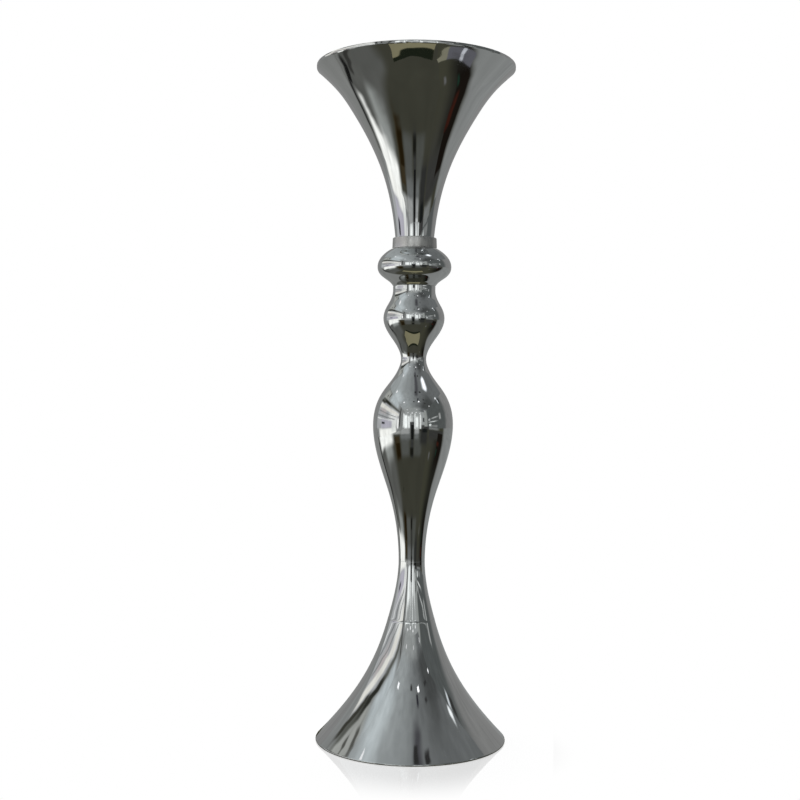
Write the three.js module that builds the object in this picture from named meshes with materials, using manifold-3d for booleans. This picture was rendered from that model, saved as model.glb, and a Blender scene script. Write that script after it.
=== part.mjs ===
// A tall chromed flower vase. Spun sheet-metal shells are stacked on a threaded rod that clamps
// them together, and a trumpet horn screws onto the rod's upper end.
// Millimetres, +Z up, origin at the centre of the flat ring that the foot stands on.

import * as THREE from 'three';
import { mergeVertices } from 'three/addons/utils/BufferGeometryUtils.js';
import Module from 'manifold-3d';

// Sheet, fits and facets
const SHEET = 1.0; // thickness of the spun shells
const FIT = 0.3; // gap between pieces that slide into each other
const FACETS = 40; // sides of a shell
const SMALL_FACETS = 24; // sides of the rod and of what fits it
const CHORD_ERROR = 0.4; // farthest that a straight step of an outline lies from its curve
const ARC_STEP = Math.PI / 8; // angle of one step round a hem, a bead or a dome

// Outlines of the shells. A lean is the change of radius for each millimetre of height.
const FOOT_RADIUS = 104.5;
const FOOT_LEAN = -0.97;
const HEM_HEIGHT = 2.2; // rounded edge of the foot
const HEM_WIDTH = 6; // flat ring under the foot
const BELL_LOWER_HEIGHT = 57.8;
const BELL_RADIUS = 57.15;
const BELL_LEAN = -0.638;
const BELL_UPPER_HEIGHT = 73;
const SEAM_RADIUS = 25.75;
const SEAM_LEAN = -0.278;
const CONE_HEIGHT = 64;
const ANKLE_RADIUS = 14.45;
const THIGH_HEIGHT = 80;
const THIGH_RADIUS = 27.6;
const THIGH_LEAN = 0.333;
const BELLY_RISE = 70;
const BELLY_RADIUS = 44.3;
const SHOULDER_RISE = 44;
const SHOULDER_RADIUS = 28.4;
const SHOULDER_LEAN = -0.845;
const NECK_RISE = 29;
const NECK_RADIUS = 13.9;
const LOWER_KNOP_FLANK_HEIGHT = 22;
const LOWER_KNOP_FLANK_RADIUS = 23.95;
const LOWER_KNOP_FLANK_LEAN = 0.774;
const LOWER_KNOP_RISE = 22.5;
const LOWER_KNOP_RADIUS = 34.15;
const LOWER_KNOP_TOP_RISE = 15.5;
const LOWER_KNOP_TOP_RADIUS = 28.8;
const LOWER_KNOP_TOP_LEAN = -0.728;
const WAIST_FOOT_RISE = 10.5;
const WAIST_FOOT_RADIUS = 23.7;
const WAIST_FOOT_LEAN = -0.2;
const WAIST_RISE = 9.5;
const WAIST_RADIUS = 23.45;
const UPPER_KNOP_ROOT_LEAN = 0.5; // where it leaves the waist
const UPPER_KNOP_ROOT_HEIGHT = 3;
const UPPER_KNOP_ROOT_RADIUS = 25.55;
const UPPER_KNOP_HOLLOW_LEAN = 0.8;
const UPPER_KNOP_FLANK_RISE = 5.5;
const UPPER_KNOP_FLANK_RADIUS = 33.05;
const UPPER_KNOP_FLANK_LEAN = 1.6;
const UPPER_KNOP_RISE = 12.5;
const UPPER_KNOP_RADIUS = 40.95;
const UPPER_KNOP_TOP_RISE = 20.3;
const UPPER_KNOP_TOP_LEAN = -1.69;
const KNOP_LEDGE = 1.3; // lip of the upper knop that shows round the collar
const KNOP_LIP_WIDTH = 10.7; // the whole turned-in lip

// Horn
const HORN_NECK_RADIUS = 21.4;
const HORN_MOUTH_LEAN = 0.09; // where the neck leaves the collar
const HORN_THROAT_RISE = 87;
const HORN_THROAT_RADIUS = 42;
const HORN_THROAT_LEAN = 0.427;
const HORN_FLARE_RISE = 60;
const HORN_FLARE_RADIUS = 75;
const HORN_FLARE_LEAN = 0.675;
const HORN_LIP_RISE = 41.4;
const HORN_RADIUS = 109.4;
const BEAD_RADIUS = 2;

// Collar and rubber ring
const COLLAR_WALL = 1.6;
const COLLAR_TAPER = 0.2; // narrowing of the band from bottom to top
const COLLAR_HEIGHT = 11.7;
const COLLAR_EDGE = 0.8; // rounding of the top edge
const COLLAR_FLOOR = 2;
const RING_THICKNESS = 0.8;
const RING_DROP = 0.4; // depth of the ring's top below the collar's edge

// Rod, nuts and washers, metric size 8
const ROD_RADIUS = 4;
const ROD_CHAMFER = 0.8;
const ROD_TAIL = 4; // rod standing out below the bottom nut
const STUD_LENGTH = 8.5; // rod inside the horn's nut
const NUT_WALL = 2.2; // from the hole to a flat
const NUT_HEIGHT = 6.5;
const NUT_BEVEL = 0.25; // a nut's flat end stops this far inside its flats
const WASHER_WIDTH = 3.7;
const WASHER_THICKNESS = 1.6;
const SPRING_WASHER_WIDTH = 2.8;
const SPRING_WASHER_THICKNESS = 2;
const SPRING_WASHER_SLOT = 1.4;
const SPRING_WASHER_SLANT = 0.5; // angle of the slot from upright, in radians
const CAP_NUT_SPARE = 2.5; // blind hole left above the stud
const CAP_NUT_CROWN = 4; // metal above the blind hole

// Pressed and turned pieces inside
const PLATE_BELOW_SEAM = 7;
const PLATE_ABOVE_SEAM = 8;
const PLATE_SHEET = 1.2;
const PLATE_WEB = 2.5;
const ANKLE_BUSH_LENGTH = 16;
const NECK_BUSH_LENGTH = 14;
const WAIST_CUP_LENGTH = 16;
const WAIST_CUP_WALL = 1.5;
const WAIST_CUP_WEB = 2;
const DISH_WEB = 2;
const DISH_RIM_HEIGHT = 6;
const DISH_RIM_WALL = 1.2;

// Heights that follow from the stack
const seamZ = HEM_HEIGHT + BELL_LOWER_HEIGHT + BELL_UPPER_HEIGHT;
const ankleZ = seamZ + CONE_HEIGHT;
const neckZ = ankleZ + THIGH_HEIGHT + BELLY_RISE + SHOULDER_RISE + NECK_RISE;
const waistFootZ =
  neckZ + LOWER_KNOP_FLANK_HEIGHT + LOWER_KNOP_RISE + LOWER_KNOP_TOP_RISE + WAIST_FOOT_RISE;
const waistZ = waistFootZ + WAIST_RISE;
const upperKnopZ = waistZ + UPPER_KNOP_ROOT_HEIGHT + UPPER_KNOP_FLANK_RISE + UPPER_KNOP_RISE;
const collarZ = upperKnopZ + UPPER_KNOP_TOP_RISE;
const collarTopZ = collarZ + COLLAR_HEIGHT;
const cupFloorZ = collarZ + COLLAR_FLOOR;
const stackNutZ = cupFloorZ + WASHER_THICKNESS;
const dishZ = stackNutZ + NUT_HEIGHT + FIT;
const capNutZ = dishZ + DISH_WEB;
const studTopZ = capNutZ + STUD_LENGTH;
const plateZ = seamZ - PLATE_BELOW_SEAM;
const bottomWasherZ = plateZ - WASHER_THICKNESS;
const springWasherZ = bottomWasherZ - SPRING_WASHER_THICKNESS;
const bottomNutZ = springWasherZ - NUT_HEIGHT;
const rodZ = bottomNutZ - ROD_TAIL;

// Radii that follow from the fits
const rodHoleRadius = ROD_RADIUS + FIT;
const ringBoreRadius = HORN_NECK_RADIUS + FIT;
const ringRadius = ringBoreRadius + RING_THICKNESS;
const cupBoreRadius = ringRadius + FIT;
const collarRadius = cupBoreRadius + COLLAR_WALL;
const knopTopRadius = collarRadius + KNOP_LEDGE;
const neckBoreRadius = HORN_NECK_RADIUS - SHEET;
const nutFlatRadius = rodHoleRadius + NUT_WALL;
const nutCornerRadius = nutFlatRadius / Math.cos(Math.PI / 6);
const nutFaceRadius = nutFlatRadius - NUT_BEVEL;
const nutChamfer = (nutCornerRadius - nutFaceRadius) * Math.tan(Math.PI / 6);

const wasm = await Module();
wasm.setup();

const point = (radius, z) => new THREE.Vector2(radius, z);

// Steps that keep a curve's chords within CHORD_ERROR, from its length and the angle that it turns.
function stepsFor(curve) {
  const samples = 16;
  let turn = 0;
  for (let i = 1; i <= samples; i++) {
    turn += curve.getTangent(i / samples).angleTo(curve.getTangent((i - 1) / samples));
  }
  return Math.max(2, Math.ceil(Math.sqrt((curve.getLength() * turn) / (8 * CHORD_ERROR))));
}

// Points of an outline that runs smoothly through its stations, each with the lean of the sheet there.
function outline(stations) {
  const points = [];
  for (let i = 1; i < stations.length; i++) {
    const low = stations[i - 1];
    const high = stations[i];
    const third = (high.z - low.z) / 3;
    const curve = new THREE.CubicBezierCurve(
      point(low.radius, low.z),
      point(low.radius + low.lean * third, low.z + third),
      point(high.radius - high.lean * third, high.z - third),
      point(high.radius, high.z),
    );
    const steps = stepsFor(curve);
    for (let step = i === 1 ? 0 : 1; step <= steps; step++) {
      const at = curve.getPoint(step / steps);
      const along = curve.getTangent(step / steps);
      points.push({ radius: at.x, z: at.y, lean: along.x / along.y });
    }
  }
  return points;
}

// The outer wall goes up and the inner wall, one sheet away square to the surface, comes down.
const outerWall = (points) => points.map((p) => point(p.radius, p.z));
const innerWall = (points) =>
  points.map((p) => point(p.radius - SHEET * Math.hypot(1, p.lean), p.z)).reverse();

// Points of a circular arc, from one angle to the other, both ends included.
function arc(radius, z, size, from, to) {
  const points = [];
  const steps = Math.ceil((to - from) / ARC_STEP);
  for (let step = 0; step <= steps; step++) {
    const angle = from + ((to - from) * step) / steps;
    points.push(point(radius + size * Math.cos(angle), z + size * Math.sin(angle)));
  }
  return points;
}

// A solid of revolution about Z. A ring's profile closes on itself, a plug's ends lie on the axis.
const plug = (profile, facets = FACETS) =>
  new THREE.LatheGeometry(profile, facets).rotateX(Math.PI / 2);
const ring = (profile, facets = FACETS) => plug([...profile, profile[0]], facets);

// A plain ring of rectangular section, from z = 0 up.
const sleeve = (bore, radius, height, facets = FACETS) =>
  ring([point(bore, 0), point(radius, 0), point(radius, height), point(bore, height)], facets);

// A cup of revolution: a web with the rod's hole, and a wall rising round it.
const cup = (bore, radius, wall, web, height) =>
  ring([
    point(bore, 0),
    point(radius, 0),
    point(radius, height),
    point(radius - wall, height),
    point(radius - wall, web),
    point(bore, web),
  ]);

// Closed solids for cutting and joining, and back to a geometry.
function solid(geometry) {
  const bare = geometry.clone();
  bare.deleteAttribute('normal');
  bare.deleteAttribute('uv');
  const merged = mergeVertices(bare, 1e-4);
  const triVerts = new Uint32Array(merged.index.array);
  return new wasm.Manifold(
    new wasm.Mesh({ numProp: 3, vertProperties: merged.attributes.position.array, triVerts }),
  );
}

function geometryOf(manifold) {
  const mesh = manifold.getMesh();
  const geometry = new THREE.BufferGeometry();
  geometry.setAttribute('position', new THREE.BufferAttribute(mesh.vertProperties, 3));
  geometry.setIndex(new THREE.BufferAttribute(mesh.triVerts, 1));
  return geometry;
}

// A six-sided bar from z = 0 up, which gives the nuts their flats.
function hexBar(height) {
  const bar = new THREE.CylinderGeometry(nutCornerRadius, nutCornerRadius, height, 6);
  return solid(bar.rotateX(Math.PI / 2).translate(0, 0, height / 2));
}

function hexNut() {
  const turned = ring(
    [
      point(rodHoleRadius, 0),
      point(nutFaceRadius, 0),
      point(nutCornerRadius, nutChamfer),
      point(nutCornerRadius, NUT_HEIGHT - nutChamfer),
      point(nutFaceRadius, NUT_HEIGHT),
      point(rodHoleRadius, NUT_HEIGHT),
    ],
    SMALL_FACETS,
  );
  return geometryOf(solid(turned).intersect(hexBar(NUT_HEIGHT)));
}

// A nut closed by a dome, with a blind hole from below.
function capNut() {
  const boreDepth = STUD_LENGTH + CAP_NUT_SPARE;
  const domeZ = Math.max(NUT_HEIGHT, boreDepth + CAP_NUT_CROWN - nutFaceRadius);
  const turned = plug(
    [
      point(0, boreDepth),
      point(rodHoleRadius, boreDepth),
      point(rodHoleRadius, 0),
      point(nutFaceRadius, 0),
      point(nutCornerRadius, nutChamfer),
      point(nutCornerRadius, NUT_HEIGHT - nutChamfer),
      point(nutFaceRadius, NUT_HEIGHT),
      ...arc(0, domeZ, nutFaceRadius, 0, Math.PI / 2),
    ],
    SMALL_FACETS,
  );
  return geometryOf(solid(turned).intersect(hexBar(domeZ + nutFaceRadius)));
}

// A washer cut through by a slanting slot.
function springWasher() {
  const radius = rodHoleRadius + SPRING_WASHER_WIDTH;
  const washer = sleeve(rodHoleRadius, radius, SPRING_WASHER_THICKNESS, SMALL_FACETS);
  const slot = new THREE.BoxGeometry(radius, SPRING_WASHER_SLOT, 3 * SPRING_WASHER_THICKNESS)
    .rotateX(SPRING_WASHER_SLANT)
    .translate(radius, 0, SPRING_WASHER_THICKNESS / 2);
  return geometryOf(solid(washer).subtract(solid(slot)));
}

// Stations of the shells, at the heights where they stand in the stack
const bellStations = [
  { z: HEM_HEIGHT, radius: FOOT_RADIUS, lean: FOOT_LEAN },
  { z: HEM_HEIGHT + BELL_LOWER_HEIGHT, radius: BELL_RADIUS, lean: BELL_LEAN },
  { z: seamZ, radius: SEAM_RADIUS, lean: SEAM_LEAN },
];
const coneStations = [
  { z: seamZ, radius: SEAM_RADIUS, lean: SEAM_LEAN },
  { z: ankleZ, radius: ANKLE_RADIUS, lean: 0 },
];
const balusterStations = [
  { z: 0, radius: ANKLE_RADIUS, lean: 0 },
  { z: THIGH_HEIGHT, radius: THIGH_RADIUS, lean: THIGH_LEAN },
  { z: THIGH_HEIGHT + BELLY_RISE, radius: BELLY_RADIUS, lean: 0 },
  { z: THIGH_HEIGHT + BELLY_RISE + SHOULDER_RISE, radius: SHOULDER_RADIUS, lean: SHOULDER_LEAN },
  { z: neckZ - ankleZ, radius: NECK_RADIUS, lean: 0 },
];
const lowerKnopStations = [
  { z: 0, radius: NECK_RADIUS, lean: 0 },
  { z: LOWER_KNOP_FLANK_HEIGHT, radius: LOWER_KNOP_FLANK_RADIUS, lean: LOWER_KNOP_FLANK_LEAN },
  { z: LOWER_KNOP_FLANK_HEIGHT + LOWER_KNOP_RISE, radius: LOWER_KNOP_RADIUS, lean: 0 },
  {
    z: waistFootZ - neckZ - WAIST_FOOT_RISE,
    radius: LOWER_KNOP_TOP_RADIUS,
    lean: LOWER_KNOP_TOP_LEAN,
  },
  { z: waistFootZ - neckZ, radius: WAIST_FOOT_RADIUS, lean: WAIST_FOOT_LEAN },
  { z: waistZ - neckZ, radius: WAIST_RADIUS, lean: 0 },
];
const upperKnopStations = [
  { z: 0, radius: WAIST_RADIUS, lean: UPPER_KNOP_ROOT_LEAN },
  { z: UPPER_KNOP_ROOT_HEIGHT, radius: UPPER_KNOP_ROOT_RADIUS, lean: UPPER_KNOP_HOLLOW_LEAN },
  {
    z: UPPER_KNOP_ROOT_HEIGHT + UPPER_KNOP_FLANK_RISE,
    radius: UPPER_KNOP_FLANK_RADIUS,
    lean: UPPER_KNOP_FLANK_LEAN,
  },
  { z: upperKnopZ - waistZ, radius: UPPER_KNOP_RADIUS, lean: 0 },
  { z: collarZ - waistZ, radius: knopTopRadius, lean: UPPER_KNOP_TOP_LEAN },
];

// The foot's lower shell, folded in under itself to a flat ring.
function footBell() {
  const wall = outline(bellStations);
  const edge = HEM_HEIGHT / 2;
  return ring([
    point(FOOT_RADIUS - HEM_WIDTH, 0),
    ...arc(FOOT_RADIUS - edge, edge, edge, -Math.PI / 2, 0),
    ...outerWall(wall),
    ...innerWall(wall),
    point(FOOT_RADIUS - HEM_WIDTH, SHEET),
  ]);
}

// A shell open at both ends.
function openShell(stations) {
  const wall = outline(stations);
  return ring([...outerWall(wall), ...innerWall(wall)]);
}

// The upper knop's sheet is turned in at the top, to a flat lip that the collar stands on.
function upperKnop() {
  const wall = outline(upperKnopStations);
  const lipZ = collarZ - waistZ;
  const holeRadius = knopTopRadius - KNOP_LIP_WIDTH;
  const under = innerWall(wall).filter((p) => p.y < lipZ - SHEET);
  return ring([
    ...outerWall(wall),
    point(holeRadius, lipZ),
    point(holeRadius, lipZ - SHEET),
    point(under[0].x, lipZ - SHEET),
    ...under,
  ]);
}

// A conical cup whose wall follows the shells' inside across the girth seam.
function footPlate() {
  const shells = [...outline(bellStations), ...outline(coneStations)];
  const topZ = seamZ + PLATE_ABOVE_SEAM;
  const inside = (z) => {
    const i = shells.findIndex((p) => p.z >= z);
    const mix = (z - shells[i - 1].z) / (shells[i].z - shells[i - 1].z);
    const radius = THREE.MathUtils.lerp(shells[i - 1].radius, shells[i].radius, mix);
    return radius - (SHEET + FIT) * Math.hypot(1, SEAM_LEAN);
  };
  const wall = PLATE_SHEET * Math.hypot(1, SEAM_LEAN);
  return ring([
    point(rodHoleRadius, 0),
    point(inside(plateZ), 0),
    point(inside(seamZ), PLATE_BELOW_SEAM),
    point(inside(topZ), topZ - plateZ),
    point(inside(topZ) - wall, topZ - plateZ),
    point(inside(seamZ) - wall, PLATE_BELOW_SEAM),
    point(inside(plateZ + PLATE_WEB) - wall, PLATE_WEB),
    point(rodHoleRadius, PLATE_WEB),
  ]);
}

// A turned cup: the rod's nut clamps its floor, and the horn's neck drops into it.
function collar() {
  const top = collarRadius - COLLAR_TAPER;
  return ring([
    point(rodHoleRadius, 0),
    point(collarRadius, 0),
    ...arc(top - COLLAR_EDGE, COLLAR_HEIGHT - COLLAR_EDGE, COLLAR_EDGE, 0, Math.PI / 2),
    point(cupBoreRadius, COLLAR_HEIGHT),
    point(cupBoreRadius, COLLAR_FLOOR),
    point(rodHoleRadius, COLLAR_FLOOR),
  ]);
}

// The horn, from the end of its neck in the collar up to the bead rolled round its rim.
function horn() {
  const neckLength = collarTopZ - cupFloorZ - FIT;
  const throat = neckLength + HORN_THROAT_RISE;
  const flare = throat + HORN_FLARE_RISE;
  const top = flare + HORN_LIP_RISE;
  const beadAngle = -Math.PI / 4;
  const beadRadius = HORN_RADIUS - BEAD_RADIUS;
  const beadZ = top - BEAD_RADIUS;
  const wall = outline([
    { z: neckLength, radius: HORN_NECK_RADIUS, lean: HORN_MOUTH_LEAN },
    { z: throat, radius: HORN_THROAT_RADIUS, lean: HORN_THROAT_LEAN },
    { z: flare, radius: HORN_FLARE_RADIUS, lean: HORN_FLARE_LEAN },
    {
      z: beadZ + BEAD_RADIUS * Math.sin(beadAngle),
      radius: beadRadius + BEAD_RADIUS * Math.cos(beadAngle),
      lean: 1,
    },
  ]);
  const inner = innerWall(wall);
  return ring([
    point(HORN_NECK_RADIUS, 0),
    ...outerWall(wall),
    ...arc(beadRadius, beadZ, BEAD_RADIUS, beadAngle, Math.PI).slice(1),
    ...inner.slice(1),
    point(neckBoreRadius, 0),
  ]);
}

// The rod, plain between its chamfered ends.
function tieRod() {
  const length = studTopZ - rodZ;
  return plug(
    [
      point(0, 0),
      point(ROD_RADIUS - ROD_CHAMFER, 0),
      point(ROD_RADIUS, ROD_CHAMFER),
      point(ROD_RADIUS, length - ROD_CHAMFER),
      point(ROD_RADIUS - ROD_CHAMFER, length),
      point(0, length),
    ],
    SMALL_FACETS,
  );
}

// Finishes
const chrome = { color: 0xb9bdbc, roughness: 0.06, metalness: 1 };
const zinc = { color: 0x9c9d97, roughness: 0.38, metalness: 1 };
const steel = { color: 0x77787a, roughness: 0.45, metalness: 1 };
const rubber = { color: 0x161616, roughness: 0.7, metalness: 0 };

const vase = new THREE.Group();
const stem = new THREE.Group();
const hornGroup = new THREE.Group();
vase.add(stem, hornGroup);

function place(group, name, geometry, finish, z) {
  const mesh = new THREE.Mesh(geometry, new THREE.MeshStandardMaterial(finish));
  mesh.name = name;
  mesh.position.z = z;
  group.add(mesh);
}

// Shells of the stem, from the foot up
place(stem, 'foot_bell', footBell(), chrome, 0);
place(stem, 'foot_cone', openShell(coneStations), chrome, 0);
place(stem, 'baluster', openShell(balusterStations), chrome, ankleZ);
place(stem, 'lower_knop', openShell(lowerKnopStations), chrome, neckZ);
place(stem, 'upper_knop', upperKnop(), chrome, waistZ);
place(stem, 'collar', collar(), chrome, collarZ);

// What centres and clamps the shells
const washer = () => sleeve(rodHoleRadius, rodHoleRadius + WASHER_WIDTH, WASHER_THICKNESS, SMALL_FACETS);
const bush = (radius, length) => sleeve(rodHoleRadius, radius - SHEET - FIT, length, SMALL_FACETS);
const waistCup = () =>
  cup(rodHoleRadius, WAIST_RADIUS - SHEET - FIT, WAIST_CUP_WALL, WAIST_CUP_WEB, WAIST_CUP_LENGTH);
place(stem, 'tie_rod', tieRod(), zinc, rodZ);
place(stem, 'bottom_nut', hexNut(), zinc, bottomNutZ);
place(stem, 'bottom_spring_washer', springWasher(), steel, springWasherZ);
place(stem, 'bottom_washer', washer(), zinc, bottomWasherZ);
place(stem, 'foot_plate', footPlate(), steel, plateZ);
place(stem, 'ankle_bush', bush(ANKLE_RADIUS, ANKLE_BUSH_LENGTH), steel, ankleZ - ANKLE_BUSH_LENGTH / 2);
place(stem, 'neck_bush', bush(NECK_RADIUS, NECK_BUSH_LENGTH), steel, neckZ - NECK_BUSH_LENGTH / 2);
place(stem, 'waist_cup', waistCup(), steel, waistZ - WAIST_CUP_LENGTH / 2);
place(stem, 'stack_washer', washer(), zinc, cupFloorZ);
place(stem, 'stack_nut', hexNut(), zinc, stackNutZ);

// The horn and what turns with it, and the ring that rises with its neck
const dish = () =>
  cup(rodHoleRadius, neckBoreRadius - FIT, DISH_RIM_WALL, DISH_WEB, DISH_RIM_HEIGHT);
const ringHeight = collarTopZ - RING_DROP - cupFloorZ - FIT;
const neckRing = () => sleeve(ringBoreRadius, ringRadius, ringHeight);
place(hornGroup, 'horn', horn(), chrome, cupFloorZ + FIT);
place(hornGroup, 'horn_floor', dish(), steel, dishZ);
place(hornGroup, 'horn_nut', capNut(), zinc, capNutZ);
place(hornGroup, 'horn_ring', neckRing(), rubber, cupFloorZ + FIT);

export default vase;
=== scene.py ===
import math

import bpy
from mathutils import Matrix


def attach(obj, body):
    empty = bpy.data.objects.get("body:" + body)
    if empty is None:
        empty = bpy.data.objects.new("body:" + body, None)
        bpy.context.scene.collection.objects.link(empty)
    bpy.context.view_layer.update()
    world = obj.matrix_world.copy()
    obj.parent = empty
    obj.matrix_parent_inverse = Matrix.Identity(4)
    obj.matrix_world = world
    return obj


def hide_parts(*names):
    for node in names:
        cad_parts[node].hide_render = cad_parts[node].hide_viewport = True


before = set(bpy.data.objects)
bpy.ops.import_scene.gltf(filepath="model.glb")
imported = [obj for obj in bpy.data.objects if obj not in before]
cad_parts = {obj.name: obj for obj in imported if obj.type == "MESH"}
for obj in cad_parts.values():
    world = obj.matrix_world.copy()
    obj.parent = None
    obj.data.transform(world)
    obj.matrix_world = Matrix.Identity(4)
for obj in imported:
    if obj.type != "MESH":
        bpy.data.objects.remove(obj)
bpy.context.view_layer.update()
scene = bpy.context.scene
scene.view_settings.view_transform = "Standard"


# Foot bell: the flared lower half of the foot, spun from 1 mm steel sheet, polished and chromed. Its edge
# is rolled and folded in under itself to the flat hem that the vase stands on. Its top edge is soldered to
# the cone at the girth seam, which stands out as a faint ring.
SHEET = 0.001
FOOT_RADIUS, FOOT_LEAN = 0.1045, -0.97
HEM_ROUNDING, HEM_WIDTH = 0.0011, 0.006
HEM_END_Z, HEM_END_INSET = HEM_ROUNDING * 1.7, 0.0003
BELL_Z, BELL_RADIUS, BELL_LEAN = 0.06, 0.05715, -0.638
SEAM_Z, SEAM_RADIUS, SEAM_LEAN = 0.133, 0.02575, -0.278
SEAM_ROUNDING = 0.0002
SEAM_LIP, SEAM_REACH = 0.00012, 0.0018
LEAN_BELOW_SEAM, LEAN_ABOVE_SEAM = -0.13, -0.43
SHELL_SIDES = 144


def wall_points(stations, step=0.0009, softening=24, fade=12):
    """Points (radius, z) of a spun wall through its stations (z, radius, lean). The wall is evened out in
    rounds of softening, which fade away over the points next to its ends."""
    points = []
    for (z0, r0, lean0), (z1, r1, lean1) in zip(stations, stations[1:]):
        rise = z1 - z0
        count = max(4, round(math.hypot(rise, r1 - r0) / step))
        for i in range(count):
            t = i / count
            radius = (
                (2 * t**3 - 3 * t**2 + 1) * r0
                + (t**3 - 2 * t**2 + t) * rise * lean0
                + (3 * t**2 - 2 * t**3) * r1
                + (t**3 - t**2) * rise * lean1
            )
            points.append((radius, z0 + rise * t))
    points.append((stations[-1][1], stations[-1][0]))
    last = len(points) - 1
    ease = [min(1.0, min(i, last - i) / fade) ** 2 for i in range(last + 1)]
    for _ in range(softening):
        points = [points[0]] + [
            tuple(
                here + ease[i] * ((before + after) / 2 - here)
                for before, here, after in zip(points[i - 1], points[i], points[i + 1])
            )
            for i in range(1, last)
        ] + [points[last]]
    return points


def inner_face(wall, thickness):
    """The other face of a wall, one thickness further in, from its end back to its start."""
    inner = []
    for i, (radius, z) in enumerate(wall):
        r0, z0 = wall[max(i - 1, 0)]
        r1, z1 = wall[min(i + 1, len(wall) - 1)]
        length = math.hypot(r1 - r0, z1 - z0)
        inner.append((radius - thickness * (z1 - z0) / length, z + thickness * (r1 - r0) / length))
    return inner[::-1]


def rounded(radius, z, size, start, end, steps=8):
    """Points of an arc round (radius, z), between two angles in degrees from the outward direction."""
    angles = [math.radians(start + (end - start) * i / steps) for i in range(steps + 1)]
    return [(radius + size * math.cos(a), z + size * math.sin(a)) for a in angles]


def add(tree, kind, inputs=None, **settings):
    """A new node. Each input takes a plain value or another node's output socket."""
    made = tree.nodes.new(kind)
    for name, value in settings.items():
        setattr(made, name, value)
    for name, value in (inputs or {}).items():
        if isinstance(value, bpy.types.NodeSocket):
            tree.links.new(value, made.inputs[name])
        else:
            made.inputs[name].default_value = value
    return made


def maths(tree, operation, *values, **settings):
    """The result of an operation on plain values or sockets."""
    return add(tree, "ShaderNodeMath", dict(enumerate(values)), operation=operation, **settings).outputs[0]


def new_tree(name, sizes):
    """An empty geometry tree with named inputs, its input sockets, and the function that closes it."""
    tree = bpy.data.node_groups.new(name, "GeometryNodeTree")
    for label, kind in sizes:
        tree.interface.new_socket(label, in_out="INPUT", socket_type=kind)
    tree.interface.new_socket("Piece", in_out="OUTPUT", socket_type="NodeSocketGeometry")
    given = tree.nodes.new("NodeGroupInput").outputs

    def close(geometry):
        real = add(tree, "GeometryNodeRealizeInstances", {"Geometry": geometry}).outputs["Geometry"]
        painted = add(tree, "GeometryNodeSetMaterial", {"Geometry": real, "Material": given["Finish"]})
        end = tree.nodes.new("NodeGroupOutput")
        tree.links.new(painted.outputs["Geometry"], end.inputs["Piece"])

    return tree, given, close


def lathe_tree():
    """Turns an outline in the XZ plane round the vase's axis and marks the faces that look inwards."""
    guide_radius = 0.01
    tree, given, close = new_tree(
        "turned_round_the_axis",
        [
            ("Outline", "NodeSocketGeometry"),
            ("Sides", "NodeSocketInt"),
            ("Crease angle", "NodeSocketFloat"),
            ("Finish", "NodeSocketMaterial"),
        ],
    )
    circle = {"Resolution": given["Sides"], "Radius": guide_radius}
    guide = add(tree, "GeometryNodeCurvePrimitiveCircle", circle).outputs["Curve"]
    place = add(tree, "GeometryNodeInputPosition").outputs[0]
    axes = add(tree, "ShaderNodeSeparateXYZ", {0: place}).outputs
    outward = maths(tree, "SUBTRACT", axes["X"], guide_radius)
    downward = maths(tree, "MULTIPLY", axes["Z"], -1.0)
    section = add(tree, "ShaderNodeCombineXYZ", {"X": outward, "Y": downward}).outputs[0]
    laid = add(tree, "GeometryNodeSetPosition", {"Geometry": given["Outline"], "Position": section})
    sweep = {"Curve": guide, "Profile Curve": laid.outputs["Geometry"]}
    turned = add(tree, "GeometryNodeCurveToMesh", sweep).outputs["Mesh"]
    outside = add(tree, "GeometryNodeFlipFaces", {"Mesh": turned}).outputs["Mesh"]
    angle = add(tree, "GeometryNodeInputMeshEdgeAngle").outputs["Unsigned Angle"]
    soft = add(tree, "FunctionNodeCompare", {0: angle, 1: given["Crease angle"]}, operation="LESS_THAN")
    smooth = add(tree, "GeometryNodeSetShadeSmooth", {"Geometry": outside}).outputs["Geometry"]
    shading = {"Geometry": smooth, "Shade Smooth": soft.outputs[0]}
    creased = add(tree, "GeometryNodeSetShadeSmooth", shading, domain="EDGE").outputs["Geometry"]
    level = add(tree, "ShaderNodeVectorMath", {0: place, 1: (1, 1, 0)}, operation="MULTIPLY").outputs[0]
    normal = add(tree, "GeometryNodeInputNormal").outputs[0]
    facing = add(tree, "ShaderNodeVectorMath", {0: normal, 1: level}, operation="DOT_PRODUCT")
    inside = add(tree, "FunctionNodeCompare", {0: facing.outputs["Value"], 1: 0.0}, operation="LESS_THAN")
    marked = add(
        tree,
        "GeometryNodeStoreNamedAttribute",
        {"Geometry": creased, "Name": "inside_wall", "Value": inside.outputs[0]},
        data_type="FLOAT",
        domain="FACE",
    )
    close(marked.outputs["Geometry"])
    return tree


def make(name, source, tree, sizes):
    """Runs a tree on a curve or mesh and keeps the result as a plain mesh at the origin."""
    scene.collection.objects.link(source)
    modifier = source.modifiers.new("tree", "NODES")
    modifier.node_group = tree
    sockets = {item.name: item.identifier for item in tree.interface.items_tree if item.in_out == "INPUT"}
    for label, value in sizes.items():
        modifier[sockets[label]] = value
    graph = bpy.context.evaluated_depsgraph_get()
    mesh = bpy.data.meshes.new_from_object(source.evaluated_get(graph), depsgraph=graph)
    mesh.name = name
    mesh.materials.clear()
    mesh.materials.append(sizes["Finish"])
    mesh.polygons.foreach_set("material_index", [0] * len(mesh.polygons))
    bpy.data.objects.remove(source)
    piece = bpy.data.objects.new(name, mesh)
    scene.collection.objects.link(piece)
    return piece


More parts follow.
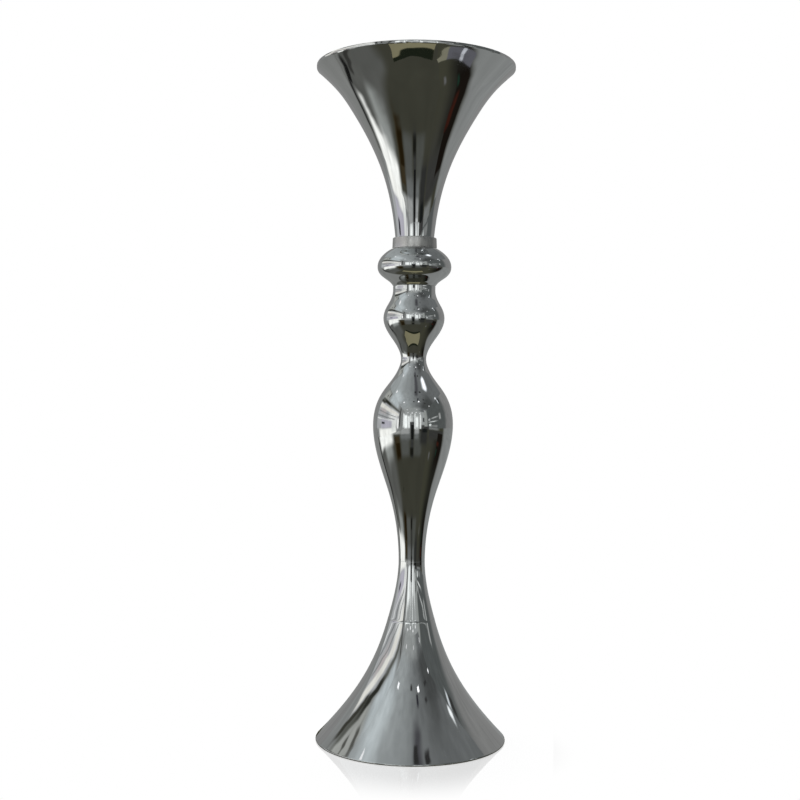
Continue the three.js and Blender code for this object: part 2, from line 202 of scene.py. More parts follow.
def turn(name, outline, finish, sides=SHELL_SIDES, crease=32):
    """A closed body of revolution, from its outline as points (radius, z). Edges sharper than the crease, in
    degrees, stay sharp."""
    curve = bpy.data.curves.new(name + "_outline", "CURVE")
    curve.dimensions = "3D"
    line = curve.splines.new("POLY")
    line.points.add(len(outline) - 1)
    for point, (radius, z) in zip(line.points, outline):
        point.co = (radius, 0, z, 1)
    line.use_cyclic_u = True
    source = bpy.data.objects.new(name + "_outline", curve)
    sizes = {"Sides": sides, "Crease angle": math.radians(crease), "Finish": finish}
    return make(name, source, LATHE, sizes)


def fix(piece, body, node):
    """Ties a finished piece to its body and hides the CAD node that it stands for."""
    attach(piece, body)
    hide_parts(node)


def new_finish(name, metallic):
    """A new finish, its node tree and the place on the object."""
    material = bpy.data.materials.new(name)
    material.use_nodes = True
    tree = material.node_tree
    tree.nodes["Principled BSDF"].inputs["Metallic"].default_value = metallic
    return material, tree, add(tree, "ShaderNodeTexCoord").outputs["Object"]


def coat(tree, colour, roughness, normal):
    """Gives a finish its colour, its roughness and its fine relief."""
    shader = tree.nodes["Principled BSDF"].inputs
    tree.links.new(colour, shader["Base Color"])
    tree.links.new(roughness, shader["Roughness"])
    tree.links.new(normal, shader["Normal"])


def lathe_place(tree, place):
    """The place as its distance from the axis and its height, which is the same all the way round, and the
    height by itself."""
    axes = add(tree, "ShaderNodeSeparateXYZ", {0: place}).outputs
    level = add(tree, "ShaderNodeCombineXYZ", {"X": axes["X"], "Y": axes["Y"]}).outputs[0]
    radius = add(tree, "ShaderNodeVectorMath", {0: level}, operation="LENGTH").outputs["Value"]
    section = add(tree, "ShaderNodeCombineXYZ", {"X": radius, "Z": axes["Z"]}).outputs[0]
    return section, axes["Z"]


def noise(tree, place, scale, detail, roughness=0.5):
    """A cloudy value round 0.5."""
    sizes = {"Vector": place, "Scale": scale, "Detail": detail, "Roughness": roughness}
    return add(tree, "ShaderNodeTexNoise", sizes).outputs["Fac"]


def spread(tree, value, low, high, start, end, **settings):
    """A value that runs from start to end while another runs from low to high."""
    ends = {"Value": value, "From Min": low, "From Max": high, "To Min": start, "To Max": end}
    return add(tree, "ShaderNodeMapRange", ends, **settings).outputs[0]


def blend(tree, share, first, second):
    """A colour between two others."""
    colours = {"Factor": share, "A": first, "B": second}
    return add(tree, "ShaderNodeMix", colours, data_type="RGBA").outputs["Result"]


def bumped(tree, height, strength, depth, **under):
    """Fine relief from a height. Another relief can lie under it, as Normal."""
    relief = {"Height": height, "Strength": strength, "Distance": depth, **under}
    return add(tree, "ShaderNodeBump", relief).outputs["Normal"]


def chrome_plate(name, rolled_edge_z=None):
    """Bright chrome on polished sheet: slight ripples of the sheet, rings left by spinning, and smudges.
    Walls that look inwards were only rough-polished before plating. A rolled edge, above the height given,
    is uneven."""
    material, tree, place = new_finish(name, metallic=1.0)
    section, height = lathe_place(tree, place)
    inside = add(tree, "ShaderNodeAttribute", attribute_name="inside_wall").outputs["Fac"]
    smudge = noise(tree, place, 16.0, 4.0, roughness=0.6)
    rings = noise(tree, section, 900.0, 3.0)
    ripple = noise(tree, place, 34.0, 1.0)
    waves = noise(tree, section, 60.0, 1.0)

    polished = maths(tree, "MULTIPLY_ADD", rings, 0.02, spread(tree, smudge, 0.45, 0.75, 0.022, 0.06))
    roughness = add(tree, "ShaderNodeMix", {"Factor": inside, "A": polished, "B": 0.2}).outputs["Result"]
    tone = spread(tree, smudge, 0.3, 0.7, 0.0, 1.0)
    plate = blend(tree, tone, (0.64, 0.65, 0.645, 1), (0.6, 0.61, 0.6, 1))
    relief = bumped(tree, ripple, 1.0, 0.0003)
    relief = bumped(tree, waves, 1.0, 0.00008, Normal=relief)
    relief = bumped(tree, rings, 0.4, 0.0000012, Normal=relief)
    if rolled_edge_z is not None:
        dents = maths(tree, "SUBTRACT", noise(tree, place, 70.0, 0.0), 0.5)
        edge = spread(tree, height, rolled_edge_z, rolled_edge_z + SHEET, 0.0, 1.0)
        relief = bumped(tree, maths(tree, "MULTIPLY", dents, edge), 1.0, 0.0018, Normal=relief)
    coat(tree, blend(tree, inside, plate, (0.5, 0.5, 0.49, 1)), roughness, relief)
    return material


LATHE = lathe_tree()
CHROME = chrome_plate("chrome_plate")
bell_wall = wall_points(
    [
        (HEM_END_Z, FOOT_RADIUS - HEM_END_INSET, FOOT_LEAN),
        (BELL_Z, BELL_RADIUS, BELL_LEAN),
        (SEAM_Z - SEAM_REACH, SEAM_RADIUS - SEAM_LEAN * SEAM_REACH, SEAM_LEAN),
        (SEAM_Z - SEAM_ROUNDING, SEAM_RADIUS - SEAM_LEAN * SEAM_ROUNDING + SEAM_LIP, LEAN_BELOW_SEAM),
    ]
)
hem = [(FOOT_RADIUS - HEM_WIDTH, SHEET), (FOOT_RADIUS - HEM_WIDTH, 0)]
hem += rounded(FOOT_RADIUS - HEM_ROUNDING, HEM_ROUNDING, HEM_ROUNDING, -90, 40)
bell_top = [(SEAM_RADIUS + SEAM_LIP - SEAM_ROUNDING, SEAM_Z)]
foot_bell = turn("spun_foot_bell", hem + bell_wall + bell_top + inner_face(bell_wall, SHEET), CHROME)
fix(foot_bell, "stem", "foot_bell")


# Foot cone: the upper half of the foot, spun and chromed as the bell is. Its wide end is soldered to the
# bell at the girth seam, polished over to a faint ring, and its neck meets the baluster.
ANKLE_Z, ANKLE_RADIUS = 0.197, 0.01445
NECK_ROUNDING = 0.00012


def open_shell(stations, low_rounding, high_rounding):
    """Outline of a sheet wall that is open at both ends, with the sheet's outer edges broken there."""
    (z0, r0, lean0), (z1, r1, lean1) = stations[0], stations[-1]
    wall = wall_points(
        [
            (z0 + low_rounding, r0 + lean0 * low_rounding, lean0),
            *stations[1:-1],
            (z1 - high_rounding, r1 - lean1 * high_rounding, lean1),
        ]
    )
    low_edge = [(r0 - low_rounding, z0)]
    high_edge = [(r1 - high_rounding, z1)]
    return low_edge + wall + high_edge + inner_face(wall, SHEET)


cone_stations = [
    (SEAM_Z, SEAM_RADIUS + SEAM_LIP, LEAN_ABOVE_SEAM),
    (SEAM_Z + SEAM_REACH, SEAM_RADIUS + SEAM_LEAN * SEAM_REACH, SEAM_LEAN),
    (ANKLE_Z, ANKLE_RADIUS, 0),
]
foot_cone = turn("spun_foot_cone", open_shell(cone_stations, SEAM_ROUNDING, NECK_ROUNDING), CHROME)
fix(foot_cone, "stem", "foot_cone")


# Tie rod: an 8 mm steel rod with rolled threads, zinc-plated, through the whole stem. The nuts on it clamp
# the shells between the foot plate and the collar, and its top is the stud for the horn.
ROD_RADIUS = 0.004
ROD_FOOT_Z, ROD_TOP_Z = 0.1119, 0.5622
ROD_CHAMFER = 0.0008
ROD_SIDES = 48
AXIS_GAP = 0.00002
THREAD_ROOT, THREAD_PITCH = 0.0033, 0.00125
THREAD_STEPS = 32
RIDGE_FOOT, RIDGE_CREST = 0.86, 0.14


def thread_tree():
    """A rolled thread: a ridge of constant section swept up a helix round the vase's axis."""
    tree, given, close = new_tree(
        "rolled_thread",
        [
            ("Core", "NodeSocketGeometry"),
            ("Pitch", "NodeSocketFloat"),
            ("Turns", "NodeSocketFloat"),
            ("Root radius", "NodeSocketFloat"),
            ("Depth", "NodeSocketFloat"),
            ("Start height", "NodeSocketFloat"),
            ("Finish", "NodeSocketMaterial"),
        ],
    )
    helix = add(
        tree,
        "GeometryNodeCurveSpiral",
        {
            "Resolution": THREAD_STEPS,
            "Rotations": given["Turns"],
            "Start Radius": given["Root radius"],
            "End Radius": given["Root radius"],
            "Height": maths(tree, "MULTIPLY", given["Pitch"], given["Turns"]),
        },
    ).outputs["Curve"]
    lift = add(tree, "ShaderNodeCombineXYZ", {"Z": given["Start height"]}).outputs[0]
    raised = add(tree, "GeometryNodeTransform", {"Geometry": helix, "Translation": lift}).outputs["Geometry"]
    path = add(tree, "GeometryNodeSetCurveNormal", {"Curve": raised}, mode="Z_UP").outputs["Curve"]
    ridge = add(
        tree,
        "GeometryNodeCurvePrimitiveQuadrilateral",
        {
            "Height": given["Depth"],
            "Bottom Width": maths(tree, "MULTIPLY", given["Pitch"], RIDGE_FOOT),
            "Top Width": maths(tree, "MULTIPLY", given["Pitch"], RIDGE_CREST),
            "Offset": 0.0,
        },
        mode="TRAPEZOID",
    ).outputs["Curve"]
    turned = add(tree, "GeometryNodeTransform", {"Geometry": ridge, "Rotation": (0, 0, -math.pi / 2)})
    sweep = {"Curve": path, "Profile Curve": turned.outputs["Geometry"], "Fill Caps": True}
    swept = add(tree, "GeometryNodeCurveToMesh", sweep).outputs["Mesh"]
    joined = tree.nodes.new("GeometryNodeJoinGeometry")
    tree.links.new(swept, joined.inputs[0])
    tree.links.new(given["Core"], joined.inputs[0])
    close(joined.outputs["Geometry"])
    return tree


def zinc_plate():
    """Dull zinc plating: cloudy grey with a faint yellow cast in patches and a fine crystal grain."""
    material, tree, place = new_finish("zinc_plate", metallic=1.0)
    cloud = noise(tree, place, 180.0, 5.0, roughness=0.65)
    colour = blend(tree, cloud, (0.64, 0.64, 0.62, 1), (0.52, 0.5, 0.44, 1))
    grain = bumped(tree, noise(tree, place, 2600.0, 2.0), 0.5, 0.00002)
    coat(tree, colour, spread(tree, cloud, 0.3, 0.7, 0.28, 0.46), grain)
    return material


ZINC = zinc_plate()
rod_core = turn(
    "rod_core",
    [
        (AXIS_GAP, ROD_FOOT_Z),
        (THREAD_ROOT - ROD_CHAMFER / 2, ROD_FOOT_Z),
        (THREAD_ROOT, ROD_FOOT_Z + ROD_CHAMFER / 2),
        (THREAD_ROOT, ROD_TOP_Z - ROD_CHAMFER / 2),
        (THREAD_ROOT - ROD_CHAMFER / 2, ROD_TOP_Z),
        (AXIS_GAP, ROD_TOP_Z),
    ],
    ZINC,
    sides=ROD_SIDES,
)
core_source = bpy.data.objects.new("rod_core_source", rod_core.data)
bpy.data.objects.remove(rod_core)
tie_rod = make(
    "threaded_tie_rod",
    core_source,
    thread_tree(),
    {
        "Pitch": THREAD_PITCH,
        "Turns": (ROD_TOP_Z - ROD_FOOT_Z - 2 * ROD_CHAMFER) / THREAD_PITCH,
        "Root radius": THREAD_ROOT + (ROD_RADIUS - THREAD_ROOT) / 2,
        "Depth": ROD_RADIUS - THREAD_ROOT,
        "Start height": ROD_FOOT_Z + ROD_CHAMFER,
        "Finish": ZINC,
    },
)
fix(tie_rod, "stem", "tie_rod")


# Nuts and washers on the rod: standard zinc-plated hexagon nuts and washers. The lower set draws the foot
# plate up into the cone, and the upper set clamps the floor of the collar.
def dress(names, finish):
    """Gives plain CAD pieces their finish."""
    for name in names:
        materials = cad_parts[name].data.materials
        materials.clear()
        materials.append(finish)


dress(("bottom_nut", "bottom_washer", "stack_washer", "stack_nut"), ZINC)


# Foot plate, bushes and waist cup: pressed and turned from plain steel and thinly plated, with the cutting
# marks left on. They centre the shells on the rod. The spring washer is the same bare steel.
def turned_metal(name, clean, stained, smoothest, roughest, cut_depth):
    """Metal as it leaves the lathe: fine rings of the tool, darker and duller where it is stained."""
    material, tree, place = new_finish(name, metallic=1.0)
    section, _ = lathe_place(tree, place)
    stain = noise(tree, place, 70.0, 5.0, roughness=0.6)
    colour = blend(tree, stain, (*clean, 1), (*stained, 1))
    cuts = bumped(tree, noise(tree, section, 2200.0, 2.0), 0.6, cut_depth)
    coat(tree, colour, spread(tree, stain, 0.3, 0.7, smoothest, roughest), cuts)
    return material


STEEL = turned_metal("turned_steel", (0.42, 0.42, 0.42), (0.29, 0.28, 0.26), 0.32, 0.52, 0.00003)
dress(("foot_plate", "bottom_spring_washer", "ankle_bush", "neck_bush", "waist_cup"), STEEL)


# Baluster: the long pear-shaped shell of the stem, spun in one piece and chromed. It stands on the cone's
# neck, and the rod clamps the lower knop onto its upper neck.
NECK_Z, NECK_RADIUS = 0.42, 0.0139
baluster_stations = [
    (ANKLE_Z, ANKLE_RADIUS, 0),
    (0.277, 0.0276, 0.333),
    (0.347, 0.0443, 0),
    (0.391, 0.0284, -0.845),
    (NECK_Z, NECK_RADIUS, 0),
]
baluster = turn("spun_baluster", open_shell(baluster_stations, NECK_ROUNDING, NECK_ROUNDING), CHROME)
fix(baluster, "stem", "baluster")


# Lower knop: a spun and chromed shell, pinched to the stem's thinnest neck below and to the straight waist
# above. It is held between the baluster and the upper knop.
WAIST_Z, WAIST_RADIUS = 0.5, 0.02345
WAIST_ROUNDING = 0.0004
lower_knop_stations = [
    (NECK_Z, NECK_RADIUS, 0),
    (0.442, 0.02395, 0.774),
    (0.4645, 0.03415, 0),
    (0.48, 0.0288, -0.728),
    (0.4905, 0.0237, -0.2),
    (WAIST_Z, WAIST_RADIUS, 0),
]
lower_knop = turn("spun_lower_knop", open_shell(lower_knop_stations, NECK_ROUNDING, WAIST_ROUNDING), CHROME)
fix(lower_knop, "stem", "lower_knop")


# Upper knop: the wide spun and chromed knop. The sheet is turned in at its top to a flat lip, which the
# collar stands on, and its foot meets the lower knop at the waist.
KNOP_TOP_Z, KNOP_TOP_RADIUS, KNOP_TOP_LEAN = 0.5413, 0.0257, -1.69
KNOP_TOP_EDGE = 0.0004
KNOP_LIP_WIDTH = 0.0107
KNOP_ROOT_LEAN = 0.5
KNOP_STEP = 0.0006
knop_wall = wall_points(
    [
        (WAIST_Z + WAIST_ROUNDING, WAIST_RADIUS + KNOP_ROOT_LEAN * WAIST_ROUNDING, KNOP_ROOT_LEAN),
        (0.503, 0.02555, 0.8),
        (0.5085, 0.03305, 1.6),
        (0.521, 0.04095, 0),
        (KNOP_TOP_Z - KNOP_TOP_EDGE, KNOP_TOP_RADIUS + KNOP_TOP_EDGE, KNOP_TOP_LEAN),
    ],
    step=KNOP_STEP,
)
knop_lip = [
    (KNOP_TOP_RADIUS - KNOP_TOP_EDGE, KNOP_TOP_Z),
    (KNOP_TOP_RADIUS - KNOP_LIP_WIDTH, KNOP_TOP_Z),
    (KNOP_TOP_RADIUS - KNOP_LIP_WIDTH, KNOP_TOP_Z - SHEET),
]
knop_under = [point for point in inner_face(knop_wall, SHEET) if point[1] < KNOP_TOP_Z - SHEET]
knop_outline = [(WAIST_RADIUS - WAIST_ROUNDING, WAIST_Z)] + knop_wall + knop_lip + knop_under
upper_knop = turn("spun_upper_knop", knop_outline, CHROME)
fix(upper_knop, "stem", "upper_knop")


# Collar: a slightly tapered cup, turned from solid bar and chromed without polishing, so that it has a
# satin look. The rod's upper nut clamps its floor onto the upper knop's lip, and the horn's neck drops
# into it.
COLLAR_RADIUS, COLLAR_TOP_RADIUS, COLLAR_BORE = 0.0246, 0.0242, 0.0228
COLLAR_TOP_Z, COLLAR_FLOOR = 0.553, 0.002
COLLAR_FOOT_EDGE, COLLAR_TOP_EDGE, COLLAR_BORE_EDGE = 0.0003, 0.0008, 0.0002
ROD_HOLE = 0.0043
collar_foot = (COLLAR_RADIUS - COLLAR_FOOT_EDGE, KNOP_TOP_Z + COLLAR_FOOT_EDGE)
collar_rim = (COLLAR_TOP_RADIUS - COLLAR_TOP_EDGE, COLLAR_TOP_Z - COLLAR_TOP_EDGE)
collar_mouth = (COLLAR_BORE + COLLAR_BORE_EDGE, COLLAR_TOP_Z - COLLAR_BORE_EDGE)
collar_outline = [(ROD_HOLE, KNOP_TOP_Z)]
collar_outline += rounded(*collar_foot, COLLAR_FOOT_EDGE, -90, 0, steps=4)
collar_outline += rounded(*collar_rim, COLLAR_TOP_EDGE, 0, 90)
collar_outline += rounded(*collar_mouth, COLLAR_BORE_EDGE, 90, 180, steps=4)
collar_outline += [(COLLAR_BORE, KNOP_TOP_Z + COLLAR_FLOOR), (ROD_HOLE, KNOP_TOP_Z + COLLAR_FLOOR)]
SATIN = turned_metal("satin_chrome", (0.6, 0.6, 0.59), (0.5, 0.49, 0.47), 0.28, 0.38, 0.000001)
collar = turn("turned_collar", collar_outline, SATIN)
fix(collar, "stem", "collar")


# Rubber ring: a black sleeve stretched on the horn's neck. It fills the collar, so that the horn doesn't
# rattle, and shows only as a dark line where the neck goes in.
RING_BORE, RING_RADIUS = 0.0217, 0.0225
RING_FOOT_Z, RING_TOP_Z = 0.5436, 0.5526
RING_LIP = 0.0003


def black_rubber():
    """Matt moulded rubber with a fine grain and a grey bloom in patches."""
    material, tree, place = new_finish("black_rubber", metallic=0.0)
    bloom = noise(tree, place, 120.0, 4.0)
    colour = blend(tree, bloom, (0.012, 0.012, 0.012, 1), (0.035, 0.034, 0.033, 1))
    grain = bumped(tree, noise(tree, place, 3000.0, 2.0), 0.5, 0.00003)
    coat(tree, colour, spread(tree, bloom, 0.3, 0.7, 0.55, 0.78), grain)
    return material


ring_outline = [(RING_BORE, RING_FOOT_Z), (RING_RADIUS, RING_FOOT_Z)]
ring_outline += rounded(RING_RADIUS - RING_LIP, RING_TOP_Z - RING_LIP, RING_LIP, 0, 90, steps=6)
ring_outline += rounded(RING_BORE + RING_LIP, RING_TOP_Z - RING_LIP, RING_LIP, 90, 180, steps=6)
horn_ring = turn("rubber_neck_ring", ring_outline, black_rubber())
fix(horn_ring, "ring", "horn_ring")


# Horn floor and horn nut: a pressed steel dish brazed into the horn's neck, with a domed cap nut brazed over
# its hole. They keep the water in, and the nut turns on the rod's stud.
dress(["horn_floor"], STEEL)
dress(["horn_nut"], ZINC)


# Horn: the trumpet that holds the flowers, spun from one sheet and chromed. Its rim is rolled to a bead with
# a flat outer band. Its neck stands in the collar, with the dish and nut that screw it to the rod.
HORN_FOOT_Z, HORN_NECK_RADIUS, HORN_NECK_LEAN = 0.5436, 0.0214, 0.09
HORN_TOP_Z, HORN_RADIUS = 0.7414, 0.1094
HORN_SIDES = 192
BEAD_ROUNDING = 0.002
BAND_CURVE, BAND_ANGLE, BAND_SHIFT = 0.012, 6.5, 0.0001
LIP_DROP, LIP_INSET, LIP_LEAN = 0.7 * BEAD_ROUNDING, 0.0002, 1.18
bead_radius = HORN_RADIUS - BEAD_ROUNDING
bead_z = HORN_TOP_Z - BEAD_ROUNDING
horn_wall = wall_points(
    [
        (COLLAR_TOP_Z, HORN_NECK_RADIUS, HORN_NECK_LEAN),
        (0.64, 0.042, 0.427),
        (0.7, 0.075, 0.65),
        (0.729, 0.0993, 1.07),
        (bead_z - LIP_DROP, HORN_RADIUS - LIP_INSET, LIP_LEAN),
    ]
)
horn_outline = [(HORN_NECK_RADIUS, HORN_FOOT_Z)] + horn_wall
band_centre = (HORN_RADIUS - BAND_CURVE, bead_z + BAND_SHIFT)
horn_outline += rounded(*band_centre, BAND_CURVE, -BAND_ANGLE, BAND_ANGLE)
horn_outline += rounded(bead_radius, bead_z, BEAD_ROUNDING, 50, 240, steps=16)
horn_outline += [
    (radius, z)
    for radius, z in inner_face(horn_wall, SHEET)
    if math.hypot(radius - bead_radius, z - bead_z) > BEAD_ROUNDING
]
horn_outline.append((HORN_NECK_RADIUS - SHEET, HORN_FOOT_Z))
horn_finish = chrome_plate("chrome_plate_rolled_rim", rolled_edge_z=bead_z - BEAD_ROUNDING)
horn = turn("spun_horn", horn_outline, horn_finish, sides=HORN_SIDES)
fix(horn, "horn", "horn")


# Studio floor and background: a pale glossy floor that keeps the vase's shadow and its mirror image and runs
# out into a white background on all sides. The chrome mirrors the hall's floor in its place, and from below
# it is looked through.
SOFT_LIGHT = 0.68
FLOOR_HALF = 30
FLOOR_LIT, FLOOR_SHOWN, FLOOR_LIFT = (0.95, 0.95, 0.95, 1), (0.22, 0.22, 0.22, 1), 0.57
FLOOR_ROUGHNESS, FLOOR_IOR = 0.02, 2.2
SHINE_FORWARD, SHINE_FADES, SHINE_ENDS = 0.035, 0.09, 0.18
WHITE = (1, 1, 1, 1)


def ray_share(tree):
    """1 for what the camera, a mirror or glass looks at directly, 0 for light on its way to a surface."""
    rays = add(tree, "ShaderNodeLightPath").outputs
    seen = maths(tree, "ADD", rays["Is Camera Ray"], rays["Is Glossy Ray"])
    return maths(tree, "ADD", seen, rays["Is Transmission Ray"], use_clamp=True)


def stage_paint(name):
    """An empty material for the stage, and its node tree."""
    material = bpy.data.materials.new(name)
    material.use_nodes = True
    material.node_tree.nodes.clear()
    return material, material.node_tree


def one_sided(tree, surface):
    """Ends a material whose surface shows from its front and is looked through from behind."""
    behind = add(tree, "ShaderNodeNewGeometry").outputs["Backfacing"]
    clear = add(tree, "ShaderNodeBsdfTransparent").outputs[0]
    shown = add(tree, "ShaderNodeMixShader", {0: behind, 1: surface, 2: clear}).outputs[0]
    add(tree, "ShaderNodeOutputMaterial", {"Surface": shown})


def sheet_of(name, corners, material):
    """A flat card or floor from its corners."""
    mesh = bpy.data.meshes.new(name)
    mesh.from_pydata(corners, [], [tuple(range(len(corners)))])
    mesh.materials.append(material)
    card = bpy.data.objects.new(name, mesh)
    scene.collection.objects.link(card)
    return card


world = bpy.data.worlds.new("white_studio")
scene.world = world
world.use_nodes = True
sky = world.node_tree
sky.nodes.clear()
soft = add(sky, "ShaderNodeBackground", {"Color": WHITE, "Strength": SOFT_LIGHT}).outputs[0]
white = add(sky, "ShaderNodeBackground", {"Color": WHITE, "Strength": 1.0}).outputs[0]
background = add(sky, "ShaderNodeMixShader", {0: ray_share(sky), 1: soft, 2: white}).outputs[0]
add(sky, "ShaderNodeOutputWorld", {"Surface": background})

floor_paint, paint = stage_paint("pale_floor")
place = add(paint, "ShaderNodeTexCoord").outputs["Object"]
moved = add(paint, "ShaderNodeVectorMath", {0: place, 1: (0, SHINE_FORWARD, 0)}, operation="ADD").outputs[0]
reach = add(paint, "ShaderNodeVectorMath", {0: moved}, operation="LENGTH").outputs["Value"]
far = spread(paint, reach, SHINE_FADES, SHINE_ENDS, 0.0, 1.0, interpolation_type="SMOOTHSTEP")
seen = ray_share(paint)
glossy = add(
    paint,
    "ShaderNodeBsdfPrincipled",
    {
        "Base Color": blend(paint, seen, FLOOR_LIT, FLOOR_SHOWN),
        "Roughness": FLOOR_ROUGHNESS,
        "IOR": FLOOR_IOR,
        "Emission Color": WHITE,
        "Emission Strength": maths(paint, "MULTIPLY", seen, FLOOR_LIFT),
    },
).outputs[0]
plain = add(paint, "ShaderNodeEmission", {"Color": WHITE, "Strength": 1.0}).outputs[0]
plain_share = maths(paint, "MULTIPLY", far, seen)
one_sided(paint, add(paint, "ShaderNodeMixShader", {0: plain_share, 1: glossy, 2: plain}).outputs[0])
floor_corners = [
    (-FLOOR_HALF, -FLOOR_HALF, 0),
    (FLOOR_HALF, -FLOOR_HALF, 0),
    (FLOOR_HALF, FLOOR_HALF, 0),
    (-FLOOR_HALF, FLOOR_HALF, 0),
]
floor = sheet_of("studio_floor", floor_corners, floor_paint)
floor.visible_glossy = False


# What the chrome mirrors: a hall with a window wall on the left, lamps in the ceiling and a dark floor,
# which lies half a metre lower in front of the vase and to its left. These cards show in reflections
# only, so they neither light the vase nor stand in the picture.
HALL_LEFT, HALL_RIGHT, HALL_FRONT, HALL_BACK = -4.2, 5.5, -9.0, 5.0
HALL_LOW, HALL_HIGH = -0.5, 4.2
HALL_FLOOR_Z, PLINTH_Z, LEDGE_Z = 0.0004, 0.0006, 0.46
DROP_ANGLES = (-124, -102, -80, -58, -36, -16, 4, 24, 45)
DROP_START = 0.16
LEDGE_PLAN = ((0.1, -0.15), (0.113, -0.156), (0.295, -0.026), (0.282, -0.013))
LAMP_DROP, LAMP_BLUE = 0.02, 1.03
BACK_GAP, BACK_GREY = 0.8, (0.3, 0.3, 0.3)
STAND_Y, STAND_FOOT_Z, STAND_TOP_Z = -1.45, -0.1, 0.353


def hall_side(name, corners, plan, base, patches=()):
    """A glowing card that only reflections see. Soft-edged patches are laid over its base colour in turn.
    Each has a name, a centre, half sizes and edge widths along the two axes of the plan, and a colour. The
    axes of a round plan are the angle from the direction of the camera, in degrees to the right, and the
    distance from the vase."""
    material, tree = stage_paint(name)
    spot = add(tree, "ShaderNodeTexCoord").outputs["Object"]
    axes = add(tree, "ShaderNodeSeparateXYZ", {0: spot}).outputs
    if plan == "round":
        ahead = maths(tree, "MULTIPLY", axes["Y"], -1.0)
        angle = maths(tree, "DEGREES", maths(tree, "ARCTAN2", axes["X"], ahead))
        flat = add(tree, "ShaderNodeVectorMath", {0: spot, 1: (1, 1, 0)}, operation="MULTIPLY").outputs[0]
        reach = add(tree, "ShaderNodeVectorMath", {0: flat}, operation="LENGTH").outputs["Value"]
        along = [angle, reach]
    else:
        along = [axes[axis] for axis in plan]
    colour = (*base, 1)
    for label, centre, half, edge, shade in patches:
        cover = []
        for value, middle, size, width in zip(along, centre, half, edge):
            away = maths(tree, "ABSOLUTE", maths(tree, "SUBTRACT", value, middle))
            ends = (size - width, size + width, 1.0, 0.0)
            cover.append(spread(tree, away, *ends, interpolation_type="SMOOTHSTEP"))
        colour = blend(tree, maths(tree, "MULTIPLY", *cover), colour, (*shade, 1))
        colour.node.label = label
    mottle = spread(tree, noise(tree, spot, 1.6, 2.0), 0.3, 0.7, 0.9, 1.1)
    one_sided(tree, add(tree, "ShaderNodeEmission", {"Color": colour, "Strength": mottle}).outputs[0])
    side = sheet_of(name, corners, material)
    side.visible_camera = False
    side.visible_diffuse = False
    side.visible_shadow = False
    side.visible_transmission = False


def level(name, low, high, z, plan, base, patches=(), looks_up=True):
    """A level card between two corners of the floor plan."""
    (x0, y0), (x1, y1) = low, high
    corners = [(x0, y0, z), (x1, y0, z), (x1, y1, z), (x0, y1, z)]
    hall_side(name, corners if looks_up else corners[::-1], plan, base, patches)


def upright(name, start, end, low, high, plan, base, patches=()):
    """A card on edge between two points of the floor plan, which faces to the right of that line."""
    (x0, y0), (x1, y1) = start, end
    corners = [(x0, y0, low), (x1, y1, low), (x1, y1, high), (x0, y0, high)]
    hall_side(name, corners, plan, base, patches)


level(
    "hall_ceiling",
    (HALL_LEFT, HALL_FRONT),
    (HALL_RIGHT, HALL_BACK),
    HALL_HIGH,
    "XY",
    (0.19, 0.2, 0.205),
    [
        ("daylight from the windows", (-7.2, -2.0), (6.9, 30), (2.3, 1), (0.45, 0.48, 0.49)),
        ("brightest daylight", (-3.4, -1.4), (0.9, 1.5), (0.7, 0.9), (0.7, 0.76, 0.79)),
        ("light from the front", (-1.5, -8.8), (4.2, 2.4), (1.2, 0.9), (0.42, 0.44, 0.44)),
        ("dim corner", (4.4, -3.8), (1.9, 2.4), (0.9, 1.0), (0.09, 0.095, 0.095)),
        ("duct", (0.55, -1.5), (0.3, 0.9), (0.25, 0.4), (0.09, 0.09, 0.1)),
        ("vent", (0.4, -1.7), (0.16, 0.14), (0.08, 0.06), (0.035, 0.035, 0.035)),
        ("vent", (1.2, -1.5), (0.18, 0.14), (0.08, 0.06), (0.035, 0.035, 0.035)),
        ("vent", (0.1, -3.95), (0.18, 0.2), (0.1, 0.1), (0.05, 0.05, 0.05)),
        ("vent", (1.05, -3.15), (0.14, 0.3), (0.1, 0.1), (0.03, 0.03, 0.04)),
        ("vent", (2.45, -2.75), (0.2, 0.16), (0.1, 0.08), (0.06, 0.06, 0.06)),
        ("vent", (3.2, -3.6), (0.35, 0.16), (0.1, 0.1), (0.05, 0.05, 0.05)),
        ("large lamp", (2.0, -0.3), (0.38, 0.36), (0.28, 0.26), (1.8, 1.86, 1.98)),
        ("corner lamp", (5.1, 0.1), (0.25, 0.25), (0.15, 0.15), (1.5, 1.55, 1.6)),
    ],
    looks_up=False,
)
for number, (x, y, half, strength) in enumerate(
    [
        (-3.1, -0.1, 0.2, 1.3),
        (-2.55, -3.6, 0.18, 1.5),
        (1.4, -3.7, 0.18, 2.2),
        (5.2, -3.7, 0.18, 1.6),
        (-2.55, -7.5, 0.26, 0.9),
        (1.3, -7.5, 0.26, 0.8),
        (5.1, -7.5, 0.26, 0.8),
    ]
):
    level(
        f"ceiling_lamp_{number}",
        (x - half, y - half),
        (x + half, y + half),
        HALL_HIGH - LAMP_DROP,
        "XY",
        (strength, strength, strength * LAMP_BLUE),
        looks_up=False,
    )


def drop_edge(angle, reach):
    """A corner of the upper floor at an angle from the direction of the camera, in degrees to the right,
    and at a distance from the vase."""
    return (reach * math.sin(math.radians(angle)), -reach * math.cos(math.radians(angle)), HALL_FLOOR_Z)


